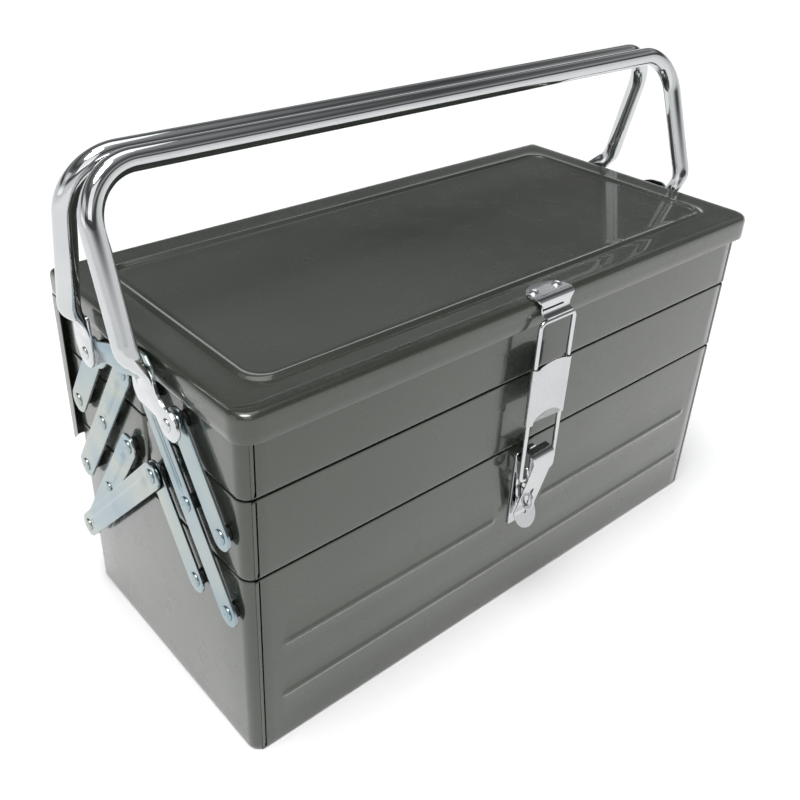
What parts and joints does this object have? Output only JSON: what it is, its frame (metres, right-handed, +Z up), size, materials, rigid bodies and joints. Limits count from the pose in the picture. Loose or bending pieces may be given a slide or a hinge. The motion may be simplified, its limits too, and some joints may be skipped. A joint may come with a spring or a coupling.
{
  "type": "cantilever tray box",
  "caption": "Steel box whose trays swing out to both sides on link straps, with a hinged one-piece lid, two folding tube handles and a wire bail latch.",
  "frame": {"origin": "centre of the underside of the base box", "axes": "+X along the box, to the right seen from the latch side; -Y is the front with the latch, +Y the hinged rear; +Z up"},
  "size_m": [0.4828, 0.2243, 0.3391],
  "materials": {
    "painted_sheet": "gloss metallic grey enamel",
    "zinc_plate": "bright zinc plate",
    "bright_chrome": "polished chrome plate"
  },
  "bodies": {
    "base": {"base_box": "painted_sheet", "hinge_leaf_base": "zinc_plate", "hinge_pin": "zinc_plate", "latch_base_plate": "bright_chrome", "latch_pivot_pin": "zinc_plate"},
    "front_long_straps": {"front_long_strap_left": "zinc_plate", "front_long_strap_right": "zinc_plate"},
    "front_mid": {"front_mid_tray": "painted_sheet"},
    "front_top": {"front_top_tray": "painted_sheet"},
    "front_lower_straps": {"front_lower_strap_left": "zinc_plate", "front_lower_strap_right": "zinc_plate"},
    "front_upper_straps": {"front_upper_strap_left": "zinc_plate", "front_upper_strap_right": "zinc_plate"},
    "cross_links": {"cross_link_left": "zinc_plate", "cross_link_right": "zinc_plate"},
    "rear_long_straps": {"rear_long_strap_left": "zinc_plate", "rear_long_strap_right": "zinc_plate"},
    "rear_mid": {"rear_mid_tray": "painted_sheet"},
    "rear_top": {"rear_top_tray": "painted_sheet"},
    "rear_lower_straps": {"rear_lower_strap_left": "zinc_plate", "rear_lower_strap_right": "zinc_plate"},
    "rear_upper_straps": {"rear_upper_strap_left": "zinc_plate", "rear_upper_strap_right": "zinc_plate"},
    "cover": {"lid_cover": "painted_sheet", "hinge_leaf_cover": "zinc_plate", "latch_strike": "bright_chrome"},
    "front_handle": {"front_handle": "bright_chrome", "hook_plate_left": "zinc_plate", "hook_plate_right": "zinc_plate"},
    "rear_handle": {"rear_handle": "bright_chrome"},
    "lever": {"latch_lever": "bright_chrome"},
    "bail": {"latch_bail": "bright_chrome", "latch_sleeve": "bright_chrome"}
  },
  "joints": [
    {"name": "cantilever_open", "type": "hinge", "parent": "base", "child": "front_long_straps", "pos_m": [0, -0.0858, 0.1069], "axis": [1, 0, 0], "range_deg": [0, 69.2]},
    {"name": "front_mid_level", "type": "hinge", "parent": "front_long_straps", "child": "front_mid", "pos_m": [0, -0.05, 0.1588], "axis": [1, 0, 0], "range_deg": [-70, 0]},
    {"name": "front_top_level", "type": "hinge", "parent": "front_long_straps", "child": "front_top", "pos_m": [0, -0.0142, 0.2107], "axis": [1, 0, 0], "range_deg": [-70, 0]},
    {"name": "front_lower_swing", "type": "hinge", "parent": "base", "child": "front_lower_straps", "pos_m": [0, -0.0527, 0.1069], "axis": [1, 0, 0], "range_deg": [0, 70]},
    {"name": "front_upper_swing", "type": "hinge", "parent": "front_mid", "child": "front_upper_straps", "pos_m": [0, -0.0836, 0.1588], "axis": [1, 0, 0], "range_deg": [0, 70]},
    {"name": "cross_link_pivot", "type": "hinge", "parent": "front_lower_straps", "child": "cross_links", "pos_m": [0, -0.0169, 0.1588], "axis": [1, 0, 0], "range_deg": [-70, 0]},
    {"name": "rear_long_swing", "type": "hinge", "parent": "base", "child": "rear_long_straps", "pos_m": [0, 0.0837, 0.1069], "axis": [-1, 0, 0], "range_deg": [0, 70]},
    {"name": "rear_mid_level", "type": "hinge", "parent": "rear_long_straps", "child": "rear_mid", "pos_m": [0, 0.0479, 0.1588], "axis": [-1, 0, 0], "range_deg": [-70, 0]},
    {"name": "rear_top_level", "type": "hinge", "parent": "rear_long_straps", "child": "rear_top", "pos_m": [0, 0.0121, 0.2107], "axis": [-1, 0, 0], "range_deg": [-70, 0]},
    {"name": "rear_lower_swing", "type": "hinge", "parent": "base", "child": "rear_lower_straps", "pos_m": [0, 0.0518, 0.1069], "axis": [-1, 0, 0], "range_deg": [0, 70]},
    {"name": "rear_upper_swing", "type": "hinge", "parent": "rear_mid", "child": "rear_upper_straps", "pos_m": [0, 0.0803, 0.1588], "axis": [-1, 0, 0], "range_deg": [0, 70]},
    {"name": "cover_swing", "type": "hinge", "parent": "base", "child": "cover", "pos_m": [0, 0.1055, 0.1155], "axis": [-1, 0, 0], "range_deg": [0, 126]},
    {"name": "rear_handle_fold", "type": "hinge", "parent": "rear_top", "child": "rear_handle", "pos_m": [0, 0.0445, 0.2107], "axis": [-1, 0, 0], "range_deg": [0, 143]},
    {"name": "latch_lever_swing", "type": "hinge", "parent": "base", "child": "lever", "pos_m": [0, -0.11, 0.1195], "axis": [-1, 0, 0], "range_deg": [0, 20]},
    {"name": "latch_bail_swing", "type": "hinge", "parent": "lever", "child": "bail", "pos_m": [0, -0.1105, 0.1135], "axis": [1, 0, 0], "range_deg": [0, 172]},
    {"name": "front_handle_fold", "type": "hinge", "parent": "front_top", "child": "front_handle", "pos_m": [0, -0.0478, 0.2107], "axis": [1, 0, 0], "range_deg": [0, 150]}
  ],
  "couplings": [
    {"joint": "front_mid_level", "follows": "cantilever_open", "ratio": -1},
    {"joint": "front_top_level", "follows": "cantilever_open", "ratio": -1},
    {"joint": "front_lower_swing", "follows": "cantilever_open", "ratio": 1},
    {"joint": "front_upper_swing", "follows": "cantilever_open", "ratio": 1},
    {"joint": "cross_link_pivot", "follows": "cantilever_open", "ratio": -1},
    {"joint": "rear_long_swing", "follows": "cantilever_open", "ratio": 1},
    {"joint": "rear_mid_level", "follows": "cantilever_open", "ratio": -1},
    {"joint": "rear_top_level", "follows": "cantilever_open", "ratio": -1},
    {"joint": "rear_lower_swing", "follows": "cantilever_open", "ratio": 1},
    {"joint": "rear_upper_swing", "follows": "cantilever_open", "ratio": 1},
    {"joint": "cover_swing", "follows": "cantilever_open", "ratio": 1.8},
    {"joint": "rear_handle_fold", "follows": "cantilever_open", "ratio": 2.05},
    {"joint": "latch_lever_swing", "follows": "cantilever_open", "ratio": 0.27},
    {"joint": "latch_bail_swing", "follows": "cantilever_open", "ratio": 2.45}
  ]
}
